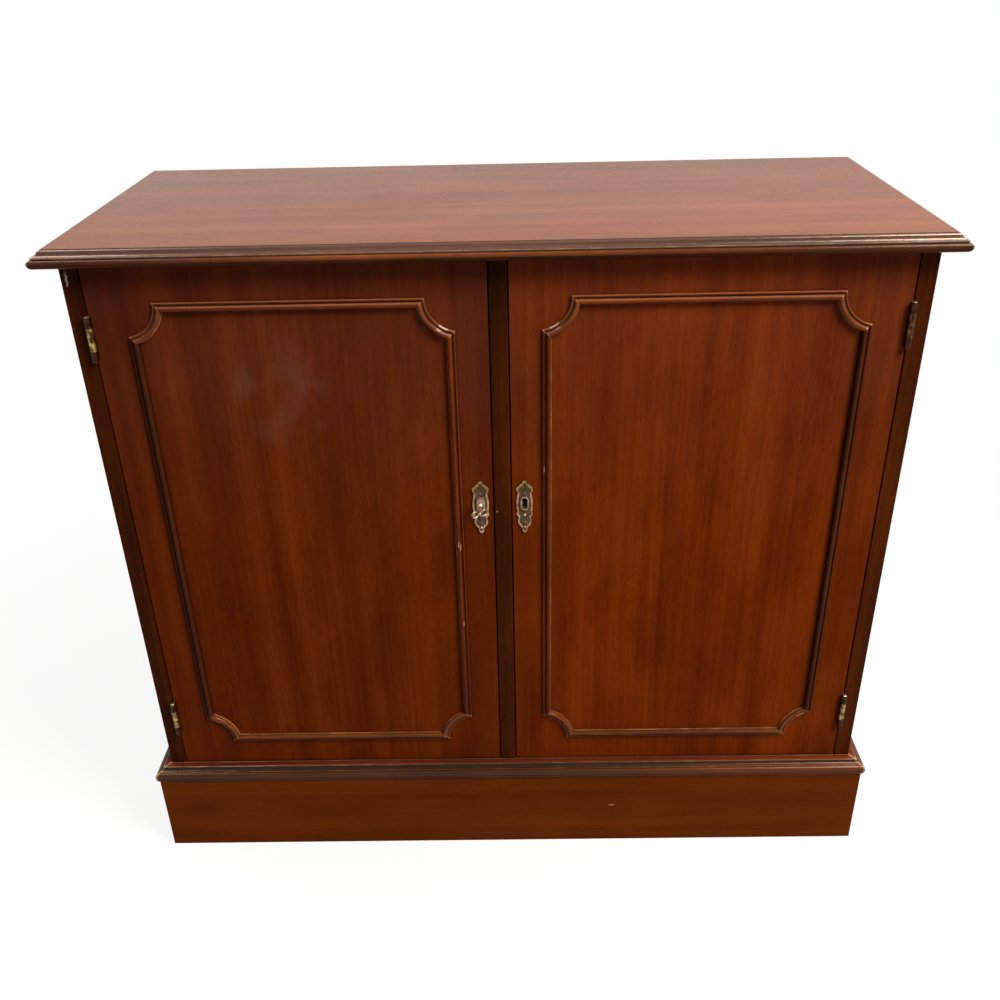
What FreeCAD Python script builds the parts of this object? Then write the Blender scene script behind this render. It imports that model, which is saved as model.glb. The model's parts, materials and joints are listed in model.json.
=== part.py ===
import FreeCAD, Part
import math
import os

# A two-door mahogany cabinet: a veneered carcass with a moulded top, on an applied plinth.
# Two inset doors carry a bead moulding with scooped corners, hang on brass butt hinges, and lock
# into the front of a centre partition. The left lock has its key in it.
# Millimetres, +Z up, doors facing -Y, floor at Z = 0. The origin lies under the middle of the
# whole piece, halfway between the end of the key and the back.

V = FreeCAD.Vector

# Carcass
carcass_width = 900.0
carcass_depth = 375.0
cabinet_height = 830.0
board = 19.0
back_thickness = 6.0
back_rebate = 9.5
back_clearance = 0.5
rail_width = 60.0
rail_thickness = 18.0

# Top and the moulding worked on its edgings
top_thickness = 18.0
top_overhang = 22.0
top_edging_width = 42.0
top_moulding_width = 12.6
top_fillet = 0.7
top_ovolo_radius = 2.7
top_ledge = 0.9
top_lip = 1.1
top_quirk = 0.8
top_nosing_radius = 3.2
top_nosing_drop = 12.2
top_nosing_return = 3.7

# Plinth and the moulding on it
plinth_height = 135.0
plinth_thickness = 15.0
plinth_moulding_height = 19.0
plinth_ledge = 9.0
plinth_nose_reach = 3.5
plinth_nose_return = 2.3
plinth_nose_radius = 4.6
plinth_nose_drop = 10.4
plinth_step = 1.4
plinth_quirk = 0.8
plinth_rail_thickness = 18.0
glue_block_size = 28.0
glue_block_length = 90.0
glue_block_count = 4

# Shelves and the pegs under them
shelf_thickness = 18.0
shelf_height = 455.0
shelf_setback = 50.0
shelf_end_gap = 2.0
peg_radius = 2.5
peg_end_gap = 0.5
peg_web = 3.0
peg_collar_radius = 4.0
peg_collar_length = 1.2
peg_clearance = 0.05
peg_inset = 45.0
peg_pitch = 50.0
peg_rows = 3

# Doors
door_thickness = 19.0
door_side_gap = 1.5
door_end_gap = 2.0
door_stop_gap = 0.5
lipping_width = 9.5

# Bead moulding on the doors
bead_width = 10.0
bead_height = 6.0
bead_hinge_inset = 39.0
bead_lock_inset = 35.0
bead_top_inset = 40.5
bead_bottom_inset = 36.5
bead_ridge_radius = 1.2
bead_ridge_height = 3.2
bead_nose_radius = 2.6
bead_lip = 0.8
bead_lip_height = 1.2
corner_across = 30.0
corner_rise = 35.5
corner_radius = 42.0

# Butt hinges
hinge_length = 50.0
hinge_top_drop = 78.5
hinge_bottom_rise = 76.0
leaf_thickness = 1.6
leaf_depth = 16.0
leaf_spacing = 0.25
knuckle_radius = 3.4
knuckle_share = 0.5
knuckle_gap = 0.25
knuckle_clearance = 0.4
hinge_pin_radius = 1.5
hinge_pin_seat = 0.02
hinge_pin_play = 0.06
hinge_head_radius = 2.5
hinge_head_length = 1.0

# Locks
key_height = 528.5
key_backset = 14.25
lock_inset = 1.5
lock_width = 44.0
lock_depth = 12.0
lock_above_key = 21.5
lock_below_key = 14.5
lock_wall = 1.5
lock_flange = 9.0
bolt_rise = 5.2
bolt_height = 12.0
bolt_front = 2.6
bolt_thickness = 4.0
bolt_setback = 0.6
bolt_throw = 7.0
bolt_clearance = 0.3
bolt_tail_gap = 1.0
bolt_post_radius = 1.5
strike_length = 34.0
strike_width = 11.0
strike_thickness = 1.2
strike_clearance = 1.0
mortise_spare = 2.0

# Key
key_shank_radius = 2.6
key_hole_clearance = 0.45
key_bit_reach = 8.6
key_bit_thickness = 2.2
key_bit_width = 5.5
key_bit_clearance = 0.5
key_pin_radius = 1.3
key_pin_play = 0.05
key_pin_engagement = 13.0
key_end_gap = 0.6
key_reach = 38.5
key_collar_radius = 3.9
key_collar_length = 2.0
key_knop_radius = 3.7
key_knop_out = 12.0
key_neck_radius = 1.7
key_bow_wire = 1.0
key_loop_length = 15.0
key_loop_width = 8.2
key_loop_end_share = 0.6
key_stem_share = 0.62
key_tilt = 15.0
key_turn = 180.0

# Keyhole plates
plate_height = 68.0
plate_width = 19.4
plate_thickness = 1.6
plate_above_key = 25.0
plate_field_depth = 0.5
plate_field_shares = (0.78, 0.92)
plate_rim_half = 4.7
plate_rim_width = 1.3
plate_rim_height = 1.3
plate_rim_length = 8.0
plate_boss_radius = 1.9
plate_boss_drops = (0.65, 0.89)

# Holes for the screws and pins
screw_radius = 1.7
screw_head_radius = 3.0
leaf_screw_pitch_share = 0.34
leaf_screw_depth_share = 0.55
lock_screw_inset = 7.0
strike_screw_radius = 1.4
strike_screw_head_radius = 2.4
strike_screw_inset = 4.6
plate_pin_radius = 0.9
plate_pin_drops = (0.24, 0.80)

# Levels and planes that the pieces share
front = (key_reach - carcass_depth) / 2
back = front + carcass_depth
back_face = back - back_thickness
side_outer = carcass_width / 2
side_inner = side_outer - board
top_under = cabinet_height - top_thickness
bay_floor = plinth_height
plinth_top = plinth_height - plinth_moulding_height
plinth_moulding_out = plinth_thickness + plinth_nose_reach
door_back = front + door_thickness
door_bottom = bay_floor + door_end_gap
door_top = top_under - door_end_gap
door_hinge_edge = -(side_inner - door_side_gap)
door_lock_edge = -(board / 2 + door_side_gap)
hinge_axis_x = -(side_inner - door_side_gap / 2)
hinge_axis_y = front - knuckle_radius - knuckle_clearance
key_axis_x = door_lock_edge - key_backset
lock_edge = door_lock_edge - lock_inset
lock_tail = lock_edge - lock_width
lock_back = door_back + lock_depth
bolt_low = key_height + bolt_rise
bolt_top = bolt_low + bolt_height
bolt_near = door_back + bolt_front
bolt_far = bolt_near + bolt_thickness
mortise_depth = bolt_throw - bolt_setback - door_side_gap + mortise_spare
peg_seat = (board - peg_web) / 2
peg_length = peg_seat - peg_end_gap
same_point = 1e-6


def box(x0, x1, y0, y1, z0, z1):
    return Part.makeBox(x1 - x0, y1 - y0, z1 - z0, V(x0, y0, z0))


def cylinder(radius, start, end):
    return Part.makeCylinder(radius, start.distanceToPoint(end), start, end - start)


def outline_face(points, place):
    """Face inside a closed outline: one point for a line, a (middle, end) pair for an arc."""
    here = place(*points[0])
    first = here
    edges = []
    for step in points[1:]:
        if isinstance(step[0], tuple):
            middle, end = (place(*point) for point in step)
            edges.append(Part.Arc(here, middle, end).toShape())
        else:
            end = place(*step)
            edges.append(Part.makeLine(here, end))
        here = end
    if here.distanceToPoint(first) > same_point:
        edges.append(Part.makeLine(here, first))
    return Part.Face(Part.Wire(edges))


def polygon_prism(corners, along):
    return Part.Face(Part.makePolygon(corners + corners[:1])).extrude(along)


def mirrored(shape):
    return shape.mirror(V(0, 0, 0), V(1, 0, 0))


def on_circle(centre, radius, degrees):
    turn = math.radians(degrees)
    return (centre[0] + radius * math.cos(turn), centre[1] + radius * math.sin(turn))


def cove_middle(start, end):
    """Middle of a hollow quarter curve that leaves its start downwards and ends level."""
    share = math.cos(math.radians(45))
    return (end[0] - (end[0] - start[0]) * share, start[1] - (start[1] - end[1]) * share)


def under_round(tip, end):
    """Round that leaves a nosing's tip straight down and runs in to an edge: its middle and end."""
    inward, down = tip[0] - end[0], tip[1] - end[1]
    radius = (inward ** 2 + down ** 2) / (2 * inward)
    sweep = math.degrees(math.atan2(down, radius - inward))
    return on_circle((tip[0] - radius, tip[1]), radius, -sweep / 2), end


def screw_hole(mouth, inward, thickness, radius, head_radius):
    """Hole right through a plate, countersunk at its mouth."""
    sink = Part.makeCone(head_radius, radius, head_radius - radius, mouth, inward)
    return sink.fuse(cylinder(radius, mouth, mouth + inward * thickness))


# Mouldings that run round the front and sides, mitred at the two front corners.
# A section is drawn as (distance out from the carcass face, height).

def front_length(section, outer, inner):
    start = -(side_outer + outer)
    end_face = outline_face(section, lambda out, z: V(start, front - out, z))
    length = end_face.extrude(V(-2 * start, 0, 0))
    low = length.BoundBox.ZMin
    plan = [
        V(start, front - outer, low),
        V(-start, front - outer, low),
        V(side_outer + inner, front - inner, low),
        V(-(side_outer + inner), front - inner, low),
    ]
    return length.common(polygon_prism(plan, V(0, 0, length.BoundBox.ZLength)))


def right_length(section, outer, inner):
    start = front - outer
    end_face = outline_face(section, lambda out, z: V(side_outer + out, start, z))
    length = end_face.extrude(V(0, back - start, 0))
    low = length.BoundBox.ZMin
    plan = [
        V(side_outer + outer, start, low),
        V(side_outer + outer, back, low),
        V(side_outer + inner, back, low),
        V(side_outer + inner, front - inner, low),
    ]
    return length.common(polygon_prism(plan, V(0, 0, length.BoundBox.ZLength)))


def mitred_set(name, section, outer, inner):
    right = right_length(section, outer, inner)
    return {
        name + "_front": front_length(section, outer, inner),
        name + "_left": mirrored(right),
        name + "_right": right,
    }


def top_edging_section():
    """Flat top, fillet, ovolo, ledge, cove and lip, then a quirk and a nosing that rounds under."""
    inner = top_overhang - top_edging_width
    arris = top_overhang - top_moulding_width
    ovolo = (arris + top_fillet, cabinet_height - top_fillet - top_ovolo_radius)
    cove_start = (ovolo[0] + top_ovolo_radius + top_ledge, ovolo[1])
    nosing = (top_overhang - top_nosing_radius, cabinet_height - top_nosing_drop)
    nosing_top = nosing[1] + top_nosing_radius
    quirk_top = nosing_top + 1.5 * top_quirk
    quirk_back = nosing[0] - 1.5 * top_quirk
    lip = nosing[0] - top_quirk / 2
    cove_end = (lip - top_ledge, quirk_top + top_lip)
    tip = on_circle(nosing, top_nosing_radius, 0)
    return [
        (inner, cabinet_height),
        (arris, cabinet_height),
        (arris, cabinet_height - top_fillet),
        on_circle(ovolo, top_ovolo_radius, 90),
        (on_circle(ovolo, top_ovolo_radius, 45), on_circle(ovolo, top_ovolo_radius, 0)),
        cove_start,
        (cove_middle(cove_start, cove_end), cove_end),
        (lip, cove_end[1]),
        (lip, quirk_top),
        (quirk_back, quirk_top),
        (quirk_back, nosing_top),
        on_circle(nosing, top_nosing_radius, 90),
        (on_circle(nosing, top_nosing_radius, 45), tip),
        under_round(tip, (top_overhang - top_nosing_return, top_under)),
        (inner, top_under),
    ]


def plinth_moulding_section():
    """Ledge, step, cove and a rounded nose that runs in to the face of the plinth board."""
    nose = (plinth_moulding_out - plinth_nose_radius, plinth_height - plinth_nose_drop)
    cove_start = (plinth_ledge, plinth_height - plinth_step)
    cove_end = (nose[0] - plinth_quirk, nose[1] + plinth_nose_radius + plinth_quirk)
    tip = on_circle(nose, plinth_nose_radius, 0)
    return [
        (0, plinth_height),
        (plinth_ledge, plinth_height),
        cove_start,
        (cove_middle(cove_start, cove_end), cove_end),
        (nose[0], cove_end[1]),
        on_circle(nose, plinth_nose_radius, 90),
        (on_circle(nose, plinth_nose_radius, 45), tip),
        under_round(tip, (plinth_moulding_out - plinth_nose_return, plinth_top)),
        (0, plinth_top),
    ]


def plinth_board_section():
    return [(0, 0), (plinth_thickness, 0), (plinth_thickness, plinth_top), (0, plinth_top)]


# Carcass boards

def top_panel():
    reach = side_outer + top_overhang - top_edging_width
    return box(-reach, reach, front - top_overhang + top_edging_width, back, top_under, cabinet_height)


def peg_heights():
    seat = shelf_height - peg_radius
    middle = (peg_rows - 1) / 2
    return [seat + (row - middle) * peg_pitch for row in range(peg_rows)]


def peg_depths():
    return [front + shelf_setback + peg_inset, back_face - peg_inset]


def peg_holes(face, direction):
    """Rows of peg holes bored into a board from one of its faces."""
    holes = []
    for y in peg_depths():
        for z in peg_heights():
            mouth = V(face, y, z)
            holes.append(cylinder(peg_radius + peg_clearance, mouth, mouth + V(direction * peg_seat, 0, 0)))
    return holes


def left_side():
    """Side board: rebated for the back, bored for the pegs, cut away for the hinge leaves."""
    cuts = [box(-(side_inner + back_rebate), -side_inner, back_face, back, 0, top_under)]
    cuts += peg_holes(-side_inner, -1)
    for z in hinge_heights():
        cuts.append(leaf_plate(z, -1))
    return box(-side_outer, -side_inner, front, back, 0, top_under).cut(cuts)


def bottom_board():
    return box(-side_inner, side_inner, front, back_face, plinth_top, bay_floor)


def top_rail(near):
    """Flat rail under the top, from side to side, with its front edge at the given depth."""
    return box(-side_inner, side_inner, near, near + rail_width, top_under - rail_thickness, top_under)


def front_rail():
    return top_rail(door_back + door_stop_gap)


def back_rail():
    return top_rail(back_face - rail_width)


def partition():
    """Centre partition: notched round the rails, bored for pegs, mortised for the lock bolts."""
    half = board / 2
    cuts = [front_rail(), back_rail()]
    cuts += peg_holes(half, -1) + peg_holes(-half, 1)
    for cut in (strike_blank(), bolt_mortise()):
        cuts += [cut, mirrored(cut)]
    return box(-half, half, front, back_face, bay_floor, top_under).cut(cuts)


def back_panel():
    reach = side_inner + back_rebate - back_clearance
    return box(-reach, reach, back_face, back, plinth_top, top_under - back_clearance)


def plinth_back():
    return box(-side_inner, side_inner, back_face - plinth_rail_thickness, back_face, 0, plinth_top)


def glue_blocks():
    """Three-cornered blocks glued in the angle of the front plinth board and the bottom board."""
    pitch = 2 * side_inner / glue_block_count
    blocks = []
    for place in range(glue_block_count):
        x = -side_inner + (place + 0.5) * pitch - glue_block_length / 2
        corners = [
            V(x, front, plinth_top),
            V(x, front + glue_block_size, plinth_top),
            V(x, front, plinth_top - glue_block_size),
        ]
        blocks.append(polygon_prism(corners, V(glue_block_length, 0, 0)))
    return Part.makeCompound(blocks)


def left_shelf():
    return box(
        -side_inner + shelf_end_gap, -board / 2 - shelf_end_gap,
        front + shelf_setback, back_face - shelf_end_gap,
        shelf_height, shelf_height + shelf_thickness,
    )


def peg(mouth, direction):
    """Turned peg: a plain end in its hole, a collar on the face, and the end the shelf lies on."""
    out = V(direction, 0, 0)
    body = cylinder(peg_radius, mouth - out * peg_length, mouth + out * (peg_length + shelf_end_gap))
    return body.fuse(cylinder(peg_collar_radius, mouth, mouth + out * peg_collar_length))


def shelf_pegs():
    seat = shelf_height - peg_radius
    pegs = []
    for y in peg_depths():
        for face, direction in ((-side_inner, 1), (-board / 2, -1), (board / 2, 1), (side_inner, -1)):
            pegs.append(peg(V(face, y, seat), direction))
    return Part.makeCompound(pegs)


# Left door; the right door mirrors it.

def hinge_heights():
    return [door_bottom + hinge_bottom_rise, door_top - hinge_top_drop]


def keyhole(clearance):
    """Round hole for the key's shank over a slot for its bit, right through the door."""
    radius = key_shank_radius + clearance
    half = key_bit_thickness / 2 + clearance
    start = V(key_axis_x, front - key_reach, key_height)
    round_hole = cylinder(radius, start, start + V(0, key_reach + door_thickness, 0))
    low = key_height - key_bit_reach - clearance
    slot = box(key_axis_x - half, key_axis_x + half, front - key_reach, door_back, low, key_height)
    return round_hole.fuse(slot)


def door_board():
    body = box(
        door_hinge_edge + lipping_width, door_lock_edge - lipping_width,
        front, door_back, door_bottom, door_top,
    )
    return body.cut(keyhole(key_hole_clearance))


def hinge_lipping():
    body = box(door_hinge_edge, door_hinge_edge + lipping_width, front, door_back, door_bottom, door_top)
    return body.cut([leaf_plate(z, 1) for z in hinge_heights()])


def lock_lipping():
    return box(door_lock_edge - lipping_width, door_lock_edge, front, door_back, door_bottom, door_top)


def bead_section():
    """Small outer ridge, a flat and a taller nose; across from the centre line, then height."""
    half = bead_width / 2
    flat = bead_ridge_height - bead_ridge_radius
    ridge = (-half + bead_ridge_radius, flat)
    nose = (half - bead_lip - bead_nose_radius, bead_height - bead_nose_radius)
    return [
        (-half, 0),
        on_circle(ridge, bead_ridge_radius, 180),
        (on_circle(ridge, bead_ridge_radius, 90), on_circle(ridge, bead_ridge_radius, 0)),
        (nose[0] - bead_nose_radius, flat),
        on_circle(nose, bead_nose_radius, 180),
        (on_circle(nose, bead_nose_radius, 90), on_circle(nose, bead_nose_radius, 0)),
        (half - bead_lip, bead_lip_height),
        (half, bead_lip_height),
        (half, 0),
    ]


def bead_face(centre, inward):
    return outline_face(bead_section(), lambda across, high: centre + inward * across + V(0, -high, 0))


def mitre_block(point, line, side):
    """Block whose one face stands on a mitre line, used to trim a bead end."""
    reach = 3 * bead_width
    lift = V(0, bead_height, 0)
    corners = [point - line * reach, point + line * reach]
    corners += [corners[1] + side * reach, corners[0] + side * reach]
    return polygon_prism([corner + lift for corner in corners], lift * -3)


class BeadCorner:
    """One scooped corner: an arc centred outside the panel, mitred to the two straight lengths."""

    def __init__(self, x, z, x_way, z_way):
        along_x = V(x_way, 0, 0)
        along_z = V(0, 0, z_way)
        corner = V(x, front, z)
        self.on_level = corner + along_x * corner_across
        self.on_upright = corner + along_z * corner_rise
        half_chord = self.on_level.distanceToPoint(self.on_upright) / 2
        outward = (along_x * corner_rise + along_z * corner_across).normalize() * -1
        middle = (self.on_level + self.on_upright) * 0.5
        self.centre = middle + outward * math.sqrt(corner_radius ** 2 - half_chord ** 2)
        self.level_mitre = self.mitre(self.on_level, along_x, along_z)
        self.upright_mitre = self.mitre(self.on_upright, along_z, along_x)

    def mitre(self, point, run, across):
        """Mitre line through a point, and the direction square to it towards the straight length."""
        spoke = (point - self.centre).normalize()
        leave = across * run.dot(spoke) - run * across.dot(spoke)
        line = (run + leave).normalize()
        square = line.cross(V(0, 1, 0)).normalize()
        if square.dot(run) < 0:
            square = square * -1
        return point, line, square

    def piece(self):
        spoke = (self.on_level - self.centre).normalize()
        swing = spoke.getAngle(self.on_upright - self.centre)
        spare = bead_width / corner_radius
        axis = V(0, 1, 0)
        if spoke.cross(self.on_upright - self.centre).dot(axis) < 0:
            axis = axis * -1
        turned = FreeCAD.Rotation(axis, math.degrees(-spare)).multVec(spoke)
        section = bead_face(self.centre + turned * corner_radius, turned)
        ring = section.revolve(self.centre, axis, math.degrees(swing + 2 * spare))
        return ring.cut([mitre_block(*self.level_mitre), mitre_block(*self.upright_mitre)])


def bead_corners():
    half = bead_width / 2
    left = door_hinge_edge + bead_hinge_inset + half
    right = door_lock_edge - bead_lock_inset - half
    low = door_bottom + bead_bottom_inset + half
    high = door_top - bead_top_inset - half
    return {
        "top_hinge": BeadCorner(left, high, 1, -1),
        "top_lock": BeadCorner(right, high, -1, -1),
        "bottom_hinge": BeadCorner(left, low, 1, 1),
        "bottom_lock": BeadCorner(right, low, -1, 1),
    }


def bead_length(first, second, inward):
    """Straight length between two mitres, each given as its point, line and square."""
    along = (second[0] - first[0]).normalize()
    start = first[0] - along * bead_width
    reach = first[0].distanceToPoint(second[0]) + 2 * bead_width
    run = bead_face(start, inward).extrude(along * reach)
    trims = [mitre_block(point, line, square * -1) for point, line, square in (first, second)]
    return run.cut(trims)


def door_beads():
    corners = bead_corners()
    top_hinge, top_lock = corners["top_hinge"], corners["top_lock"]
    bottom_hinge, bottom_lock = corners["bottom_hinge"], corners["bottom_lock"]
    return {
        "bead_top": bead_length(top_hinge.level_mitre, top_lock.level_mitre, V(0, 0, -1)),
        "bead_bottom": bead_length(bottom_hinge.level_mitre, bottom_lock.level_mitre, V(0, 0, 1)),
        "bead_hinge_side": bead_length(bottom_hinge.upright_mitre, top_hinge.upright_mitre, V(1, 0, 0)),
        "bead_lock_side": bead_length(bottom_lock.upright_mitre, top_lock.upright_mitre, V(-1, 0, 0)),
        "bead_corners": Part.makeCompound([corner.piece() for corner in corners.values()]),
    }


# Butt hinges: the outer knuckles belong to the leaf on the side board, the middle one to the door.

def leaf_plate(z, way):
    """Flat of one leaf, from the hinge axis back; way is -1 for the side board, 1 for the door."""
    near = hinge_axis_x + way * leaf_spacing / 2
    far = near + way * leaf_thickness
    half = hinge_length / 2
    return box(min(near, far), max(near, far), hinge_axis_y, front + leaf_depth, z - half, z + half)


def leaf_holes(z, way):
    """Three screw holes in a leaf, countersunk on the face that meets the other leaf."""
    x = hinge_axis_x + way * leaf_spacing / 2
    y = front + leaf_depth * leaf_screw_depth_share
    pitch = hinge_length * leaf_screw_pitch_share
    mouths = [V(x, y, z + step * pitch) for step in (-1, 0, 1)]
    return [screw_hole(mouth, V(way, 0, 0), leaf_thickness, screw_radius, screw_head_radius)
            for mouth in mouths]


def knuckle_spans(z):
    """Heights of the middle knuckle and of the two outer ones."""
    half = hinge_length / 2
    middle = half * knuckle_share
    inner = middle + knuckle_gap
    return [(z - middle, z + middle)], [(z - half, z - inner), (z + inner, z + half)]


def barrel(radius, low, high):
    return cylinder(radius, V(hinge_axis_x, hinge_axis_y, low), V(hinge_axis_x, hinge_axis_y, high))


def hinge_leaf(z, way, own, other, bore):
    leaf = leaf_plate(z, way)
    for low, high in other:
        leaf = leaf.cut(barrel(knuckle_radius + knuckle_clearance, low - knuckle_gap, high + knuckle_gap))
    leaf = leaf.fuse([barrel(knuckle_radius, low, high) for low, high in own])
    half = hinge_length / 2
    return leaf.cut([barrel(bore, z - half, z + half)] + leaf_holes(z, way)).removeSplitter()


def hinge_pin(z):
    """Pin with a domed head at each end, turned about the hinge axis."""
    half = hinge_length / 2
    dome = (hinge_head_radius ** 2 + hinge_head_length ** 2) / (2 * hinge_head_length)
    centre = (0, half + hinge_head_length - dome)
    slope = math.degrees(math.asin(hinge_head_radius / dome))
    middle, crown = on_circle(centre, dome, 90 - slope / 2), on_circle(centre, dome, 90)
    section = [
        (0, -crown[1]),
        ((middle[0], -middle[1]), (hinge_head_radius, -half)),
        (hinge_pin_radius, -half),
        (hinge_pin_radius, half),
        (hinge_head_radius, half),
        (middle, crown),
    ]
    face = outline_face(section, lambda out, up: V(hinge_axis_x + out, hinge_axis_y, z + up))
    return face.revolve(V(hinge_axis_x, hinge_axis_y, z), V(0, 0, 1), 360)


def hinge(z):
    middle, outer = knuckle_spans(z)
    return {
        "side_leaf": hinge_leaf(z, -1, outer, middle, hinge_pin_radius + hinge_pin_seat),
        "door_leaf": hinge_leaf(z, 1, middle, outer, hinge_pin_radius + hinge_pin_play),
        "pin": hinge_pin(z),
    }


# Lock of the left door: a case on the back of the door, a bolt that the key slides, a strike.

def bolt_section(grow):
    """Block of the bolt's cross section, grown all round, through the case end and the partition."""
    return box(
        lock_edge - 2 * lock_wall, board / 2, bolt_near - grow, bolt_far + grow,
        bolt_low - grow, bolt_top + grow,
    )


def lock_case():
    """Case open towards the door, flanged top and bottom, with the key's pin and the bolt's post."""
    low = key_height - lock_below_key
    high = key_height + lock_above_key
    flange_back = door_back + lock_wall
    case = box(lock_tail, lock_edge, door_back, lock_back, low, high)
    case = case.fuse(box(lock_tail, lock_edge, door_back, flange_back, low - lock_flange, high + lock_flange))
    hollow = box(
        lock_tail + lock_wall, lock_edge - lock_wall, door_back, lock_back - lock_wall,
        low + lock_wall, high - lock_wall,
    )
    case = case.cut([hollow, bolt_section(bolt_clearance)])
    pin_foot = V(key_axis_x, lock_back - lock_wall, key_height)
    key_pin = cylinder(key_pin_radius, pin_foot, pin_foot - V(0, key_pin_engagement, 0))
    post_foot = V(bolt_post_x(), lock_back - lock_wall, (bolt_low + bolt_top) / 2)
    post = cylinder(bolt_post_radius, post_foot, V(post_foot.x, bolt_near, post_foot.z))
    holes = [
        screw_hole(V(x, flange_back, z), V(0, -1, 0), lock_wall, screw_radius, screw_head_radius)
        for x in (lock_tail + lock_screw_inset, lock_edge - lock_screw_inset)
        for z in (low - lock_flange / 2, high + lock_flange / 2)
    ]
    return case.fuse([key_pin, post]).cut(holes).removeSplitter()


def bolt_tail_x():
    return lock_tail + lock_wall + bolt_tail_gap


def bolt_post_x():
    """The post stands at the front end of the bolt's slot while the bolt is withdrawn."""
    return bolt_tail_x() + bolt_throw + 3 * bolt_post_radius


def bolt_talon():
    """Notch that the key's bit sweeps through while the bolt slides with its turn."""
    corner = math.hypot(key_bit_reach, key_bit_thickness / 2)
    height = bolt_rise - bolt_clearance
    half = math.sqrt(corner ** 2 - height ** 2)
    meet = math.degrees(math.asin(height / corner))
    slant = math.degrees(math.atan(key_bit_thickness / 2 / key_bit_reach))
    per_degree = bolt_throw / key_turn
    start = -half - per_degree * (meet + slant + key_tilt) - key_bit_clearance
    end = half - per_degree * (key_turn + key_tilt - meet - slant) + key_bit_clearance
    return box(
        key_axis_x + start, key_axis_x + end, bolt_near, bolt_far,
        bolt_low, key_height + corner + key_bit_clearance,
    )


def lock_bolt():
    bolt = box(bolt_tail_x(), door_lock_edge - bolt_setback, bolt_near, bolt_far, bolt_low, bolt_top)
    middle = (bolt_low + bolt_top) / 2
    reach = bolt_post_radius + bolt_clearance
    slot_end = bolt_post_x()
    slot_start = slot_end - bolt_throw
    slot = box(slot_start, slot_end, bolt_near, bolt_far, middle - reach, middle + reach)
    for x in (slot_start, slot_end):
        slot = slot.fuse(cylinder(reach, V(x, bolt_near, middle), V(x, bolt_far, middle)))
    return bolt.cut([slot, bolt_talon()])


def strike_blank():
    middle = (bolt_low + bolt_top) / 2
    centre = (bolt_near + bolt_far) / 2
    face = -board / 2
    return box(
        face, face + strike_thickness, centre - strike_width / 2, centre + strike_width / 2,
        middle - strike_length / 2, middle + strike_length / 2,
    )


def bolt_mortise():
    face = -board / 2
    return bolt_section(strike_clearance).common(
        box(face, face + mortise_depth, front, back, bay_floor, top_under))


def strike_plate():
    middle = (bolt_low + bolt_top) / 2
    reach = strike_length / 2 - strike_screw_inset
    mouths = [V(-board / 2, (bolt_near + bolt_far) / 2, middle + way * reach) for way in (-1, 1)]
    holes = [
        screw_hole(mouth, V(1, 0, 0), strike_thickness, strike_screw_radius, strike_screw_head_radius)
        for mouth in mouths
    ]
    return strike_blank().cut([bolt_mortise()] + holes)


# Key, built with its bow lying flat and its bit to the left, then tipped and put in the lock.

def key_point(across, out):
    """Point in the plane of the bow, measured across and out from the door face along the key."""
    return V(across, -out, 0)


def key_bore():
    """Blind bore in the end of the shank, which turns on the pin in the lock."""
    tip = key_tip()
    return cylinder(key_pin_radius + key_pin_play, key_point(0, tip), key_point(0, tip + key_pin_engagement))


def key_tip():
    return -(door_thickness + lock_depth - lock_wall - key_end_gap)


def key_stem_end():
    """How far out the stem ends, between the two loops of the bow."""
    return key_reach - key_loop_length * (1 - key_stem_share)


def key_stem():
    """Turned stem: shank in the lock, collar against the keyhole plate, knop and neck."""
    tip = key_tip()
    collar = plate_thickness + plate_rim_height + key_end_gap
    knop = key_knop_out
    end = key_stem_end()
    round_end = (0, end - key_neck_radius)
    section = [
        (0, tip),
        (key_shank_radius, tip),
        (key_shank_radius, collar),
        (key_collar_radius, collar),
        (key_collar_radius, collar + key_collar_length),
        (key_shank_radius, collar + key_collar_length),
        (key_shank_radius, knop - key_knop_radius),
        ((key_knop_radius, knop), (key_neck_radius, knop + key_knop_radius)),
        (key_neck_radius, round_end[1]),
        (on_circle(round_end, key_neck_radius, 45), on_circle(round_end, key_neck_radius, 90)),
    ]
    return outline_face(section, key_point).revolve(key_point(0, 0), V(0, 1, 0), 360)


def key_bit():
    """Flat bit on the shank, level with the middle of the bolt's thickness."""
    middle = (bolt_near + bolt_far) / 2 - front
    depth = key_bit_width / 2
    half = key_bit_thickness / 2
    return box(-key_bit_reach, 0, middle - depth, middle + depth, -half, half)


def wire_arc(middle, radius, start, sweep):
    """Bent length of the bow's round wire: part of a ring in the plane of the bow, in degrees."""
    turn = math.radians(start)
    spoke = V(math.cos(turn), -math.sin(turn), 0)
    axis = V(0, 0, -1)
    section = Part.Circle(middle + spoke * radius, axis.cross(spoke), key_bow_wire)
    return Part.Face(Part.Wire(section.toShape())).revolve(middle, axis, sweep)


def bow_loop(across, out, length, width):
    """Oval loop of four arcs that run into each other; length runs out from the door."""
    end = width / 2 * key_loop_end_share
    shift = length / 2 - end
    side = (length ** 2 + width ** 2 - 4 * length * end) / (4 * (width - 2 * end))
    lift = side - width / 2
    bend = math.degrees(math.atan2(shift, lift))
    arcs = [
        wire_arc(key_point(across - lift, out), side, -bend, 2 * bend),
        wire_arc(key_point(across, out + shift), end, bend, 180 - 2 * bend),
        wire_arc(key_point(across + lift, out), side, 180 - bend, 2 * bend),
        wire_arc(key_point(across, out - shift), end, 180 + bend, 180 - 2 * bend),
    ]
    return arcs[0].fuse(arcs[1:]).removeSplitter()


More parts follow.
